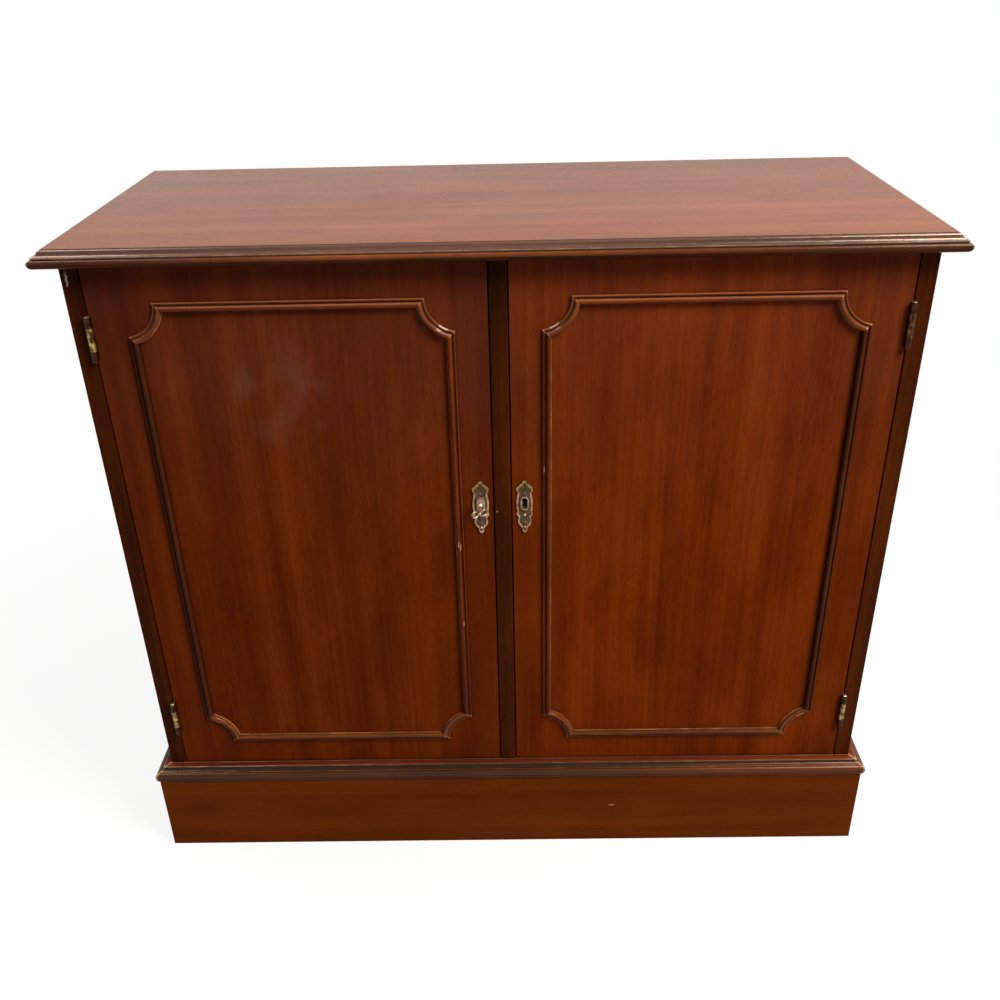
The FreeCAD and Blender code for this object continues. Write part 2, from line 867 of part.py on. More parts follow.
def key():
    loop_out = key_reach - key_loop_length / 2
    side = (key_loop_width + key_neck_radius + key_bow_wire) / 2
    loops = [bow_loop(across, loop_out, key_loop_length - 2 * key_bow_wire, key_loop_width)
             for across in (-side, side)]
    whole = key_stem().fuse([key_bit()] + loops).cut(key_bore())
    whole.rotate(key_point(0, 0), V(0, 1, 0), -key_tilt)
    whole.translate(V(key_axis_x, front, key_height))
    return whole


# Keyhole plate: a cast plate with a pointed crown, a long oval body and a drop below. Its field is
# sunk inside a raised border, and an oval rim stands round the keyhole.

def plate_outline(shares):
    """Half outline from the top point down the right, as shares of the half width and height."""
    outline = [
        (0.0, 0.0),
        ((0.25, 0.02), (0.22, 0.058)),
        ((0.50, 0.062), (0.62, 0.09)),
        ((0.80, 0.105), (1.0, 0.14)),
        ((0.92, 0.19), (0.76, 0.228)),
        ((0.97, 0.41), (0.86, 0.585)),
        (1.0, 0.64),
        ((0.80, 0.675), (0.68, 0.715)),
        ((0.80, 0.79), (0.56, 0.865)),
        ((0.34, 0.90), (0.28, 0.94)),
        ((0.18, 0.985), (0.0, 1.0)),
    ]

    def drawn_in(point):
        return point[0] * shares[0], 0.5 + (point[1] - 0.5) * shares[1]

    return [tuple(drawn_in(point) for point in step) if isinstance(step[0], tuple) else drawn_in(step)
            for step in outline]


def plate_point(across, down):
    top = key_height + plate_above_key
    return V(key_axis_x + across * plate_width / 2, front, top - down * plate_height)


def plate_block(shares, depth):
    """The plate's whole outline, drawn in by two shares and raised from the door."""
    half = outline_face(plate_outline(shares), plate_point).extrude(V(0, -depth, 0))
    return half.fuse(half.mirror(V(key_axis_x, 0, 0), V(1, 0, 0))).removeSplitter()


def rim_block(half):
    """Oval block round the keyhole, as high as the rim stands off the door."""
    depth = V(0, -plate_thickness - plate_rim_height, 0)
    high = V(key_axis_x, front, key_height)
    low = high - V(0, 0, plate_rim_length)
    block = box(high.x - half, high.x + half, front + depth.y, front, low.z, high.z)
    return block.fuse([cylinder(half, end, end + depth) for end in (high, low)]).removeSplitter()


def keyhole_plate():
    plate = plate_block((1.0, 1.0), plate_thickness)
    field = plate_block(plate_field_shares, plate_field_depth)
    field.translate(V(0, plate_field_depth - plate_thickness, 0))
    inside = rim_block(plate_rim_half - plate_rim_width)
    inside.translate(V(0, plate_field_depth - plate_thickness, 0))
    bosses = []
    for down in plate_boss_drops:
        centre = plate_point(0, down) - V(0, plate_thickness, 0)
        ball = Part.makeSphere(plate_boss_radius, centre)
        bosses.append(ball.common(box(
            centre.x - plate_width, centre.x + plate_width, centre.y - plate_width, front,
            centre.z - plate_width, centre.z + plate_width)))
    plate = plate.cut(field).fuse([rim_block(plate_rim_half)] + bosses)
    pin_mouths = [plate_point(0, down) for down in plate_pin_drops]
    pin_holes = [cylinder(plate_pin_radius, mouth, mouth - V(0, plate_thickness, 0)) for mouth in pin_mouths]
    return plate.cut([inside, keyhole(key_hole_clearance)] + pin_holes).removeSplitter()


# The whole cabinet

def carcass_nodes():
    side = left_side()
    shelf = left_shelf()
    strike = strike_plate()
    nodes = {
        "top_panel": top_panel(),
        "left_side": side,
        "right_side": mirrored(side),
        "partition": partition(),
        "bottom_board": bottom_board(),
        "front_rail": front_rail(),
        "back_rail": back_rail(),
        "back_panel": back_panel(),
        "plinth_back": plinth_back(),
        "glue_blocks": glue_blocks(),
        "left_shelf": shelf,
        "right_shelf": mirrored(shelf),
        "shelf_pegs": shelf_pegs(),
        "left_strike": strike,
        "right_strike": mirrored(strike),
    }
    edging_inner = top_overhang - top_edging_width
    nodes.update(mitred_set("top_edging", top_edging_section(), top_overhang, edging_inner))
    nodes.update(mitred_set("plinth_moulding", plinth_moulding_section(), plinth_moulding_out, 0))
    nodes.update(mitred_set("plinth", plinth_board_section(), plinth_thickness, 0))
    return nodes


def left_door_nodes():
    nodes = {
        "door_board": door_board(),
        "hinge_lipping": hinge_lipping(),
        "lock_lipping": lock_lipping(),
        "keyhole_plate": keyhole_plate(),
        "lock_case": lock_case(),
        "lock_bolt": lock_bolt(),
    }
    nodes.update(door_beads())
    for place, z in zip(("lower", "upper"), hinge_heights()):
        for name, shape in hinge(z).items():
            nodes[place + "_hinge_" + name] = shape
    return nodes


def cabinet_nodes():
    nodes = carcass_nodes()
    for name, shape in left_door_nodes().items():
        nodes["left_" + name] = shape
        nodes["right_" + name] = mirrored(shape)
    nodes["left_key"] = key()
    return nodes


os.makedirs("parts", exist_ok=True)
for name, shape in cabinet_nodes().items():
    shape.exportStep("parts/" + name + ".step")
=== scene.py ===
import json
import math
import random

import bmesh
import bpy
from mathutils import Euler, Matrix, Vector

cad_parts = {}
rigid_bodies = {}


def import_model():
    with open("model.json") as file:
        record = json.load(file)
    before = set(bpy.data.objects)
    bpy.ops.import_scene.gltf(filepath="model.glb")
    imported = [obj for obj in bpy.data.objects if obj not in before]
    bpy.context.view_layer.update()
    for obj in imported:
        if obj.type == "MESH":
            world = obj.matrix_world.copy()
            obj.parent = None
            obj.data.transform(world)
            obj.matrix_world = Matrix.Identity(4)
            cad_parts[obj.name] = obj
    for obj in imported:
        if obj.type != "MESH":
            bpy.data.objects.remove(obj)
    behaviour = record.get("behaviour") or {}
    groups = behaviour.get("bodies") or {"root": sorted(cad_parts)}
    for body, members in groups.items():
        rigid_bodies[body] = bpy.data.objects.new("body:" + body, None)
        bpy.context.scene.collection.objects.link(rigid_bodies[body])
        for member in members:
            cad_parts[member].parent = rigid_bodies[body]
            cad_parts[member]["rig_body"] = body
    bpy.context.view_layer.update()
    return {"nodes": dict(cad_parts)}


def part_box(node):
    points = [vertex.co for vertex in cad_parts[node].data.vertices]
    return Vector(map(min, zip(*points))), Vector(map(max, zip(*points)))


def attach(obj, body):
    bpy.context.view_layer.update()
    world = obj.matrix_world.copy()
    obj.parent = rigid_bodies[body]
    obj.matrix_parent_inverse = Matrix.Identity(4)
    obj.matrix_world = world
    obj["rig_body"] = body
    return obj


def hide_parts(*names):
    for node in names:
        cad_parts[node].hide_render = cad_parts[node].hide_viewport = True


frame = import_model()
nodes = frame["nodes"]


# Side boards
# Two 19 mm boards, veneered in mahogany with the grain upright, that stand on the floor and carry
# the doors. A lipping of darker solid mahogany covers each front edge, its arrises rubbed round.

class Wire:
    """A shader socket that takes part in sums: every operator adds one Math node."""

    def __init__(self, socket):
        self.socket = socket

    def node(self, kind, settings=None, inputs=None, output=0):
        """Adds a node to the tree: its settings first, then the values or wires on its sockets."""
        tree = self.socket.id_data
        made = tree.nodes.new(kind)
        for key, value in (settings or {}).items():
            if key == "stops":
                ramp = made.color_ramp.elements
                while len(ramp) < len(value):
                    ramp.new(1.0)
                for stop, (position, colour) in zip(ramp, value):
                    stop.position = position
                    stop.color = (*colour, 1.0)
            else:
                setattr(made, key, value)
        for key, value in (inputs or {}).items():
            if isinstance(value, Wire):
                tree.links.new(value.socket, made.inputs[key])
            else:
                made.inputs[key].default_value = value
        return Wire(made.outputs[output]) if made.outputs else None

    def maths(self, operation, first, second):
        return self.node("ShaderNodeMath", {"operation": operation}, {0: first, 1: second})

    def __add__(self, other):
        return self.maths("ADD", self, other)

    def __radd__(self, other):
        return self.maths("ADD", other, self)

    def __sub__(self, other):
        return self.maths("SUBTRACT", self, other)

    def __rsub__(self, other):
        return self.maths("SUBTRACT", other, self)

    def __mul__(self, other):
        return self.maths("MULTIPLY", self, other)

    def __rmul__(self, other):
        return self.maths("MULTIPLY", other, self)

    def __abs__(self):
        return self.node("ShaderNodeMath", {"operation": "ABSOLUTE"}, {0: self})

    def between(self, low, high):
        """0 below low, 1 above high, and a smooth step from one to the other."""
        return self.node("ShaderNodeMapRange", {"interpolation_type": "SMOOTHSTEP"},
                         {"Value": self, "From Min": low, "From Max": high})

    def along(self, axis):
        return self.node("ShaderNodeSeparateXYZ", None, {0: self}, output=axis)

    def length(self):
        return self.node("ShaderNodeVectorMath", {"operation": "LENGTH"}, {0: self},
                         output="Value")

    def stretched(self, scales):
        return self.node("ShaderNodeMapping", None, {"Vector": self, "Scale": scales})

    def noise(self, scale, detail):
        return self.node("ShaderNodeTexNoise", None,
                         {"Vector": self, "Scale": scale, "Detail": detail})


def tint(code):
    """Linear colour of a six-digit web colour."""
    shares = [int(code[place:place + 2], 16) / 255 for place in (0, 2, 4)]
    return tuple(s / 12.92 if s <= 0.04045 else ((s + 0.055) / 1.055) ** 2.4 for s in shares)


def mixed(under, over, share):
    """One colour laid over another by a share; 6 and 7 are the Mix node's colour sockets."""
    inputs = {0: share}
    for place, colour in ((6, under), (7, over)):
        inputs[place] = colour if isinstance(colour, Wire) else (*colour, 1.0)
    return share.node("ShaderNodeMix", {"data_type": "RGBA"}, inputs, output=2)


def start_material(name):
    """Empty material, and the wire that gives a point's place on the piece in metres."""
    material = bpy.data.materials.new(name)
    material.use_nodes = True
    material.node_tree.nodes.clear()
    return material, Wire(material.node_tree.nodes.new("ShaderNodeTexCoord").outputs["Object"])


def close_material(place, sockets):
    """Ends a material with its shader; sockets says what each input is set to or fed by."""
    shader = place.node("ShaderNodeBsdfPrincipled", None, sockets)
    shader.node("ShaderNodeOutputMaterial", None, {"Surface": shader})


def grain_scale(grain, along, across):
    return tuple(along if axis == grain else across for axis in "XYZ")


def mahogany(place, grain, tones, contrast=1.0):
    """Colour and pores of mahogany; tones are its dark, middle and light web colours."""
    dark, middle, light = (tint(tone) for tone in tones)
    drift = place.stretched(grain_scale(grain, 1.3, 5.0)).noise(1.0, 1.0)
    sway = drift.node("ShaderNodeCombineXYZ", None, {0: drift, 1: drift, 2: drift})
    swayed = place.node("ShaderNodeVectorMath", {"operation": "MULTIPLY_ADD"},
                        {0: sway, 1: grain_scale(grain, 0.0, 0.02), 2: place})

    def figure(along, across, detail):
        """Noise drawn out by the grain, in waves to the metre along and across it."""
        return swayed.stretched(grain_scale(grain, along, across)).noise(1.0, detail)

    ribbon = figure(0.9, 36.0, 2.0)
    mottle = figure(9.0, 22.0, 3.0)
    streak = figure(3.0, 230.0, 3.0)
    fleck = figure(75.0, 900.0, 2.0)
    pores = figure(95.0, 1900.0, 1.0).between(0.6, 0.72)
    stripes = (ribbon - 0.5) * 0.85 + (mottle - 0.5) * 0.7 + (streak - 0.5) * 0.45
    tone = stripes * contrast + (fleck - 0.5) * 0.45 + 0.5
    colour = tone.node("ShaderNodeValToRGB",
                       {"stops": [(0.2, dark), (0.5, middle), (0.8, light)]}, {0: tone})
    in_pores = tuple(0.45 * part for part in dark)
    return mixed(colour, in_pores, pores * 0.55), pores


def polished(place, colour, pores, rough, level=0.02, sheen=(1.0, 0.7, 0.5)):
    """Closes a wood material: lacquer over the colour, with the pores just felt in it."""
    cloud = place.noise(9.0, 3.0)
    relief = place.node("ShaderNodeBump", None,
                        {"Strength": 0.12, "Distance": 0.0003, "Height": 1 - pores})
    close_material(place, {
        "Base Color": colour, "Roughness": cloud * 0.08 + (rough - 0.04) + pores * 0.15,
        "Normal": relief, "Specular IOR Level": level, "Specular Tint": (*sheen, 1.0)})


def mark(place, centre, reach, ragged=0.9):
    """Ragged spot: 1 in its middle and 0 outside; reach is its half size along each axis."""
    offset = place.node("ShaderNodeVectorMath", {"operation": "SUBTRACT"}, {0: place, 1: centre})
    distance = offset.stretched(tuple(1 / size for size in reach)).length()
    return 1 - (distance + (place.noise(600.0, 3.0) - 0.5) * ragged * 2).between(0.7, 1.0)


shown = dict(nodes)
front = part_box("left_side")[0].y
touching = 1e-5
weld_distance = 2e-6
least_alignment = 0.99
flat_angle, arris_angle, smooth_angle = (math.radians(angle) for angle in (0.3, 25, 32))


def stand(shape, name):
    """Makes a piece of the scene out of a bmesh."""
    mesh = bpy.data.meshes.new(name)
    shape.to_mesh(mesh)
    shape.free()
    piece = bpy.data.objects.new(name, mesh)
    bpy.context.scene.collection.objects.link(piece)
    return piece


def eased(name, width, picked):
    """Stands a copy with rounded arrises in a CAD piece's place; picked says which are worn."""
    shape = bmesh.new()
    shape.from_mesh(nodes[name].data)
    bmesh.ops.remove_doubles(shape, verts=shape.verts, dist=weld_distance)
    bmesh.ops.dissolve_limit(shape, angle_limit=flat_angle, verts=shape.verts, edges=shape.edges)
    worn = [edge for edge in shape.edges if edge.is_manifold
            and edge.calc_face_angle_signed() > arris_angle and picked(edge)]
    bmesh.ops.bevel(shape, geom=worn, offset=width, segments=2, profile=0.5, affect="EDGES",
                    material=-1)
    piece = stand(shape, name + "_eased")
    mesh = piece.data
    if "custom_normal" in mesh.attributes:
        mesh.attributes.remove(mesh.attributes["custom_normal"])
    mesh.shade_smooth()
    mesh.set_sharp_from_angle(angle=smooth_angle)
    flats = piece.modifiers.new("flats", "WEIGHTED_NORMAL")
    flats.keep_sharp = True
    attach(piece, nodes[name]["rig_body"])
    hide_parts(name)
    shown[name] = piece


def dress(material, *names):
    """Gives pieces their finish."""
    for name in names:
        mesh = shown[name].data
        mesh.materials.clear()
        mesh.materials.append(material)


def runs(edge, axis):
    """True for an edge that runs along one axis."""
    step = edge.verts[1].co - edge.verts[0].co
    return abs(step["XYZ".index(axis)]) > least_alignment * step.length


def front_arris(edge):
    """True for an upright edge on the front of a board."""
    return runs(edge, "Z") and all(abs(vert.co.y - front) < touching for vert in edge.verts)


lipping_depth = 0.004
lipping_blend = 0.0002


def edged_board(name, scuff=None, head_shadow=None):
    """Veneered board lipped with solid wood; it may have a pale scuff and painted shadow at its
    head.
    """
    material, place = start_material(name)
    veneer, pores = mahogany(place, "Z", ("4c1a08", "5f2407", "72300d"))
    solid = mahogany(place, "Z", ("2a1005", "3f1905", "522307"))[0]
    seam = front + lipping_depth
    colour = mixed(veneer, solid, 1 - place.along("Y").between(seam - lipping_blend, seam))
    if head_shadow:
        # Painted shadow: the head of the edge is darkened where the top's overhang shades it.
        colour = mixed(colour, tint("140a04"), place.along("Z").between(*head_shadow) * 0.65)
    if scuff:
        colour = mixed(colour, tint("cbb8a8"), mark(place, *scuff))
    polished(place, colour, pores, 0.36)
    return material


board_arris = 0.0007
side_scuff = ((-0.4438, front, 0.7965), (0.0013, 0.004, 0.0085), 1.6)
for side in ("left", "right"):
    eased(side + "_side", board_arris, front_arris)
dress(edged_board("side_veneer", side_scuff), "left_side")
dress(edged_board("side_veneer_right"), "right_side")


# Partition, bottom board, rails and shelves
# The centre partition shows its dark lipped edge between the doors. The bottom board and the two
# rails under the top tie the sides together, glued and dowelled; a loose shelf lies in each bay.

partition_scuff = ((-0.0065, front, 0.513), (0.0007, 0.004, 0.0008), 0.6)
# Heights over which the partition's edge gets painted shadow from the top's overhang.
partition_head_shadow = (0.66, 0.81)
shelf_arris = 0.0006
shelf_setback = 0.06


def plain_wood(name, tones, rough):
    """Unmarked wood with its grain along the cabinet."""
    material, place = start_material(name)
    colour, pores = mahogany(place, "X", tones)
    polished(place, colour, pores, rough)
    return material


eased("partition", board_arris, front_arris)
dress(edged_board("partition_veneer", partition_scuff, partition_head_shadow), "partition")
for side in ("left", "right"):
    eased(side + "_shelf", shelf_arris,
          lambda edge: runs(edge, "X") and edge.verts[0].co.y < front + shelf_setback)
dress(plain_wood("inner_veneer", ("54240f", "673016", "7a3d1f"), 0.48),
      "bottom_board", "front_rail", "back_rail", "left_shelf", "right_shelf")


# Plinth back and glue blocks
# Plain softwood, planed and left bare where nobody looks. The rail closes the plinth behind, and
# the blocks are rubbed into its front corner with glue.

dress(plain_wood("inner_softwood", ("9a6e3c", "b98c55", "cda36a"), 0.7),
      "plinth_back", "glue_blocks")


# Back panel
# A sheet of thin plywood, stained brown, set in rebates in the sides and held by a row of pins
# down each edge, their heads punched flush.

pin_pitch = 0.115
pin_inset = 0.005
pin_head = 0.0016
back_ply, place = start_material("back_ply")
colour, pores = mahogany(place, "Z", ("6a4526", "7d5430", "8f643c"))
across = abs(place.along("X")) - (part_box("back_panel")[1].x - pin_inset)
up = place.maths("PINGPONG", place.along("Z"), pin_pitch / 2)
from_pin = place.node("ShaderNodeCombineXYZ", None, {0: across, 1: up, 2: 0.0}).length()
colour = mixed(colour, tint("2a2522"), 1 - from_pin.between(pin_head * 0.8, pin_head))
polished(place, colour, pores, 0.62)
dress(back_ply, "back_panel")


# Plinth boards and moulding
# Three veneered boards mitred round the foot of the carcass, with a solid moulding glued above
# them. Its arrises are rubbed through to paler wood, with painted highlights towards its ends, and
# its hollows carry painted shade.

plinth_knock = ((0.1375, front - 0.015, 0.064), (0.005, 0.003, 0.0013), 0.7)


def plinth_board(name, grain):
    """Plinth veneer with one small knock in the front board."""
    material, place = start_material(name)
    colour, pores = mahogany(place, grain, ("501f03", "612703", "713206"), 0.7)
    polished(place, mixed(colour, tint("a86f48"), mark(place, *plinth_knock)), pores, 0.36)
    return material


def hollows(place, reach):
    """Rises towards 1 in corners and hollows with walls nearer than reach."""
    return 1 - place.node("ShaderNodeAmbientOcclusion", {"samples": 8}, {"Distance": reach},
                          output="AO")


def arrises(place, width):
    """Rises towards 1 along a piece's own raised edges, within a width of them."""
    return 1 - place.node("ShaderNodeAmbientOcclusion",
                          {"samples": 8, "inside": True, "only_local": True},
                          {"Distance": width}, output="AO")


def shaded_in_corners(place, colour, reach, share):
    """Painted shade: darkens corners and hollows where walls stand within reach."""
    return mixed(colour, tint("120804"), hollows(place, reach).between(0.15, 0.6) * share)


def wear_and_painted_light(place, colour, bare_and_highlight, width=0.0022, hollow_darkening=0.85, rubbed=(0.3, 0.65), highlit_ends=False):
    """Painted shade in hollows; arrises paler in patches or at the ends, as wear and painted
    highlight.
    """
    colour = shaded_in_corners(place, colour, 0.008, hollow_darkening)
    patchy = place.noise(38.0, 4.0).between(0.42, 0.66)
    share = arrises(place, width).between(*rubbed) * (patchy * 0.5 + 0.4)
    # Painted highlight: the pale arris lines grow stronger towards the ends.
    if highlit_ends:
        share = share * (abs(place.along("X")).between(0.1, 0.4) * 0.6 + 0.4)
    return mixed(colour, tint(bare_and_highlight), share)


ledge_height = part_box("plinth_moulding_front")[1].z
hollow_low, hollow_high = ledge_height - 0.0049, ledge_height - 0.0014
hollow_blend = 0.0006


def plinth_moulding(name, grain, tones, level):
    """Solid moulding, paler to the right, painted shade in its hollow, ends rubbed with painted
    highlight.
    """
    material, place = start_material(name)
    colour, pores = mahogany(place, grain, tones)
    colour = mixed(colour, tint("8a4418"), place.along("X").between(-0.02, 0.38) * 0.25)
    # Painted shade in the hollows; arrises paler as wear and painted highlight, most at the ends.
    colour = wear_and_painted_light(place, colour, "c09a7a", rubbed=(0.12, 0.45), highlit_ends=True)
    height = place.along("Z")
    # Painted shade: the cove of the profile is darkened.
    hollow_shade = (height.between(hollow_low, hollow_low + hollow_blend)
                 - height.between(hollow_high - hollow_blend, hollow_high))
    polished(place, mixed(colour, tint("0e0805"), hollow_shade * 0.8), pores, 0.2, level=level)
    return material


def dress_faces(name, finishes, chosen):
    """Gives each face of a moulding one of its finishes; chosen says which."""
    mesh = shown[name].data
    mesh.materials.clear()
    for finish in finishes:
        mesh.materials.append(finish)
    for face in mesh.polygons:
        face.material_index = chosen(face)


moulded_sides = (("front", "X"), ("left", "Y"), ("right", "Y"))
moulding_arris = 0.0004
shortest_run = 0.3
flat_face = 0.95
face_margin = 0.0003
plinth_underside = -0.1


def plinth_finish(face):
    """0 on the ledge, 1 on the shaped front, 2 underneath."""
    if face.normal.z > flat_face and face.center.z > ledge_height - face_margin:
        return 0
    return 1 if face.normal.z > plinth_underside else 2


for side, grain in moulded_sides:
    dress(plinth_board("plinth_veneer_" + side, grain), "plinth_" + side)
    eased("plinth_moulding_" + side, moulding_arris,
          lambda edge: edge.calc_length() > shortest_run)
    ledge = plinth_moulding("plinth_ledge_" + side, grain, ("42150a", "582010", "6c2c18"), 0.06)
    shaped = plinth_moulding("plinth_shaped_" + side, grain, ("251107", "33190b", "442411"), 0.24)
    below = plinth_moulding("plinth_below_" + side, grain, ("2c1206", "3d1b0a", "4e270f"), 0.03)
    dress_faces("plinth_moulding_" + side, (ledge, shaped, below), plinth_finish)


# Top
# A veneered panel edged on three sides with mitred solid lengths that carry the moulding. The
# veneer runs over the panel and the flat of the edgings, under the glossiest lacquer on the piece.

top_low, top_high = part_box("top_panel")
nosing_drop = 0.0085
edging_arris = 0.0002
edging_underside = -0.15
off_the_seam = 1e-4


def top_edging(name, grain, tones, level, dark_ends=0.0):
    """Solid edging: painted shade in quirks, arrises rubbed with painted highlight, darker towards
    ends.
    """
    material, place = start_material(name)
    colour, pores = mahogany(place, grain, tones)
    near_end = abs(place.along("X")).between(0.12, 0.42)
    colour = mixed(colour, tint("2a160e"), near_end * dark_ends)
    # Painted shade in the quirks; arrises paler as wear and painted highlight.
    polished(place, wear_and_painted_light(place, colour, "b68c70", 0.0015), pores, 0.2, level=level)
    return material


def top_finish(face):
    """0 on the flat, 1 on the shaped band, 2 on the nosing, 3 underneath."""
    if face.normal.z > flat_face and face.center.z > top_high.z - face_margin:
        return 0
    if face.normal.z < edging_underside:
        return 3
    return 2 if face.center.z < top_high.z - nosing_drop else 1


top_veneer, place = start_material("top_veneer")
colour, pores = mahogany(place, "X", ("642e0a", "753a0c", "874715"), 0.7)
# Painted shade: the veneer darkens towards the back of the top.
colour = mixed(colour, tint("4a1e08"), place.along("Y").between(-0.12, 0.2) * 0.3)
polished(place, colour, pores, 0.24, level=0.09, sheen=(1.0, 0.95, 0.9))
dress(top_veneer, "top_panel")
for side, grain in moulded_sides:
    axis, inner = (1, abs(top_low.y)) if side == "front" else (0, top_high.x)
    eased("top_edging_" + side, edging_arris,
          lambda edge: edge.calc_length() > shortest_run
          and abs(abs(edge.verts[0].co[axis]) - inner) > off_the_seam)
    # On one solid wood, the nosing's lighter tones are painted light and the underside's darker
    # tones painted shade.
    shaped = top_edging("edge_shaped_" + side, grain, ("38211a", "4a2d24", "5c3b30"), 0.75, 0.4)
    nosing = top_edging("edge_nosing_" + side, grain, ("48210c", "602f12", "7a4119"), 0.16, 0.75)
    below = top_edging("edge_below_" + side, grain, ("2e1509", "411e0e", "552c16"), 0.03)
    dress_faces("top_edging_" + side, (top_veneer, shaped, nosing, below), top_finish)


# Shelf pegs
# Turned brass pegs, dulled with age, pushed into rows of holes that are bored in the sides and
# the partition.

def brass(name, clean, tarnish, share=0.5, dirt_reach=0.003, sunk=None, leaf=None, crown=None):
    """Old brass, tarnished in patches and in its hollows and bright on its edges.

    sunk is the depth over which a field turns black, leaf the two colours of metal that lies
    behind the cabinet's front, and crown the height above which a plate is yellower.
    """
    material, place = start_material(name)
    patchy = place.noise(160.0, 4.0).between(0.5 - share / 2, 0.5 + share / 2)
    hollow_darkening = hollows(place, dirt_reach).between(0.25, 0.8)
    if sunk:
        hollow_darkening = place.maths("MAXIMUM", hollow_darkening, place.along("Y").between(*sunk) * 0.82)
    colour = mixed(tint(clean), tint(tarnish), patchy)
    if leaf:
        behind = place.along("Y").between(front, front + 0.0006)
        colour = mixed(colour, mixed(*(tint(code) for code in leaf), patchy), behind)
    if crown:
        above = place.along("Z").between(crown - 0.004, crown + 0.001)
        colour = mixed(colour, tint("8c7432"), above * 0.6)
    colour = mixed(colour, tint("20140a"), hollow_darkening * 0.96)
    colour = mixed(colour, tint("e0cfae"), arrises(place, 0.0008).between(0.4, 0.8) * 0.7)
    relief = place.node("ShaderNodeBump", None,
                        {"Strength": 0.2, "Distance": 0.0002, "Height": place.noise(900.0, 2.0)})
    close_material(place, {
        "Base Color": colour, "Metallic": 0.8 - hollow_darkening * 0.8,
        "Roughness": patchy * 0.2 + 0.26 + hollow_darkening * 0.3,
        "Normal": relief, "Specular IOR Level": 0.1})
    return material


dress(brass("peg_brass", "c09a55", "8f6b34"), "shelf_pegs")


# Doors
# Boards veneered upright in ribbon-striped mahogany, with a solid lipping down each edge that is
# rubbed round at its corners. The left one has a dulled patch where something leant against it.

stile_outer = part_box("right_bead_hinge_side")[1].x
stile_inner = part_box("right_bead_lock_side")[0].x
stile_blend = 0.006
dulled_patch = ((-0.238, front, 0.665), (0.06, 0.02, 0.075), 0.1)
door_arris = 0.0006


def door_wood(name, tones, head_shade):
    """Door veneer: darker stiles, painted sheen above, painted shade above by a share and by beads.
    """
    material, place = start_material(name)
    colour, pores = mahogany(place, "Z", tones)
    height, across = place.along("Z"), abs(place.along("X"))
    cloud = place.stretched((1.0, 0.0, 0.7)).noise(30.0, 3.0).between(0.35, 0.75)
    stile = (across.between(stile_outer - stile_blend, stile_outer)
             + (1 - across.between(stile_inner, stile_inner + stile_blend)))
    painted_sheen = place.stretched((1.0, 0.0, 0.5)).noise(14.0, 3.0) * 0.05
    colour = mixed(colour, tint("8a6a58"), mark(place, *dulled_patch) * cloud * 0.14)
    colour = mixed(colour, tint("200802"), stile * 0.2)
    # Painted shade over the upper part of the door.
    colour = mixed(colour, tint("2c100c"), height.between(0.45, 0.8) * head_shade)
    # Painted sheen: a greyish haze over the upper part.
    colour = mixed(colour, tint("8c7a78"), height.between(0.42, 0.8) * painted_sheen)
    # Painted shade in the corners along the beads.
    polished(place, shaded_in_corners(place, colour, 0.003, 0.8), pores, 0.38)
    return material


door_woods = {
    "left": (door_wood("door_veneer", ("4e1902", "602303", "702d06"), 0.2),
             door_wood("door_lipping", ("531a02", "642403", "732d06"), 0.2)),
    "right": (door_wood("door_veneer_right", ("551b02", "692703", "7b3206"), 0.0),
              door_wood("door_lipping_right", ("561b02", "672603", "783006"), 0.0)),
}
door_ends = [corner.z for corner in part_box("left_door_board")]


def door_end(edge):
    """True for an edge along the head or the foot of a door."""
    return runs(edge, "X") and any(abs(edge.verts[0].co.z - z) < touching for z in door_ends)


for side in ("left", "right"):
    eased(side + "_door_board", door_arris, door_end)
    door_veneer, door_lipping = door_woods[side]
    dress(door_veneer, side + "_door_board")
    for edge_name, outer in (("hinge", 1), ("lock", 0)):
        name = side + "_" + edge_name + "_lipping"
        edge_x = sorted(abs(corner.x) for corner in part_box(name))[outer]
        eased(name, door_arris,
              lambda edge: door_end(edge)
              or (runs(edge, "Z") and abs(abs(edge.verts[0].co.x) - edge_x) < touching))
        dress(door_lipping, name)


# Bead moulding
# Lengths of small moulding and four scooped corners, mitred, glued and pinned to each door. The
# bead by the left door's lock is chipped where keys and rings have knocked it.

lock_low, lock_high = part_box("right_bead_lock_side")
hinge_low, hinge_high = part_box("right_bead_hinge_side")
lock_tip = (lock_low.x + lock_high.x) / 2 + 0.007
hinge_tip = (hinge_low.x + hinge_high.x) / 2 - 0.006
upper_tips, lower_tips = lock_high.z + 0.005, hinge_low.z - 0.004
# Painted glints: pale spots at the tips of the scooped corners.
painted_glint_spots = ((-lock_tip, upper_tips), (lock_tip, upper_tips),
               (hinge_tip, lower_tips), (-hinge_tip, lower_tips))
glint_reach = (0.008, 0.02, 0.0045)
bead_chips = (((-0.0525, front, 0.473), (0.0009, 0.02, 0.006)),
              ((-0.0505, front, 0.468), (0.0008, 0.02, 0.005)),
              ((-0.0505, front, 0.359), (0.0007, 0.02, 0.004)),
              ((0.0475, front, 0.568), (0.0008, 0.02, 0.004)))


